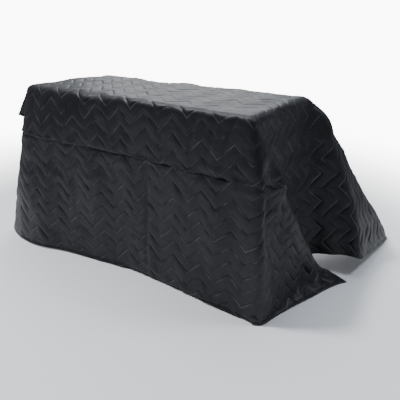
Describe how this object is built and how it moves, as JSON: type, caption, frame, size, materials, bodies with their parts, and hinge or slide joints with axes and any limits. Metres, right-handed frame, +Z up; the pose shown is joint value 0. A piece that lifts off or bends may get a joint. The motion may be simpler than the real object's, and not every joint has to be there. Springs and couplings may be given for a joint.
{
  "type": "insulated pallet blanket",
  "caption": "Quilted insulated pallet blanket draped over a block-shaped load: flat top, sides hanging to the floor at the front, loose folds standing out at the corners, open underneath.",
  "frame": {"origin": "centre of the underside of the blanket's flat top, where it rests on its load", "axes": "+X along the load's long side towards the end whose corners have the long folds, -Y towards the front face, +Z up"},
  "size_m": [2.7138, 1.7423, 1.2332],
  "materials": {
    "main_panel": "charcoal woven nylon, quilted in zigzag lines, slightly glossy",
    "front_panel": "charcoal woven nylon, quilted in zigzag lines, slightly glossy"
  },
  "bodies": {
    "root": {"main_panel": "main_panel", "front_panel": "front_panel"}
  },
  "joints": []
}
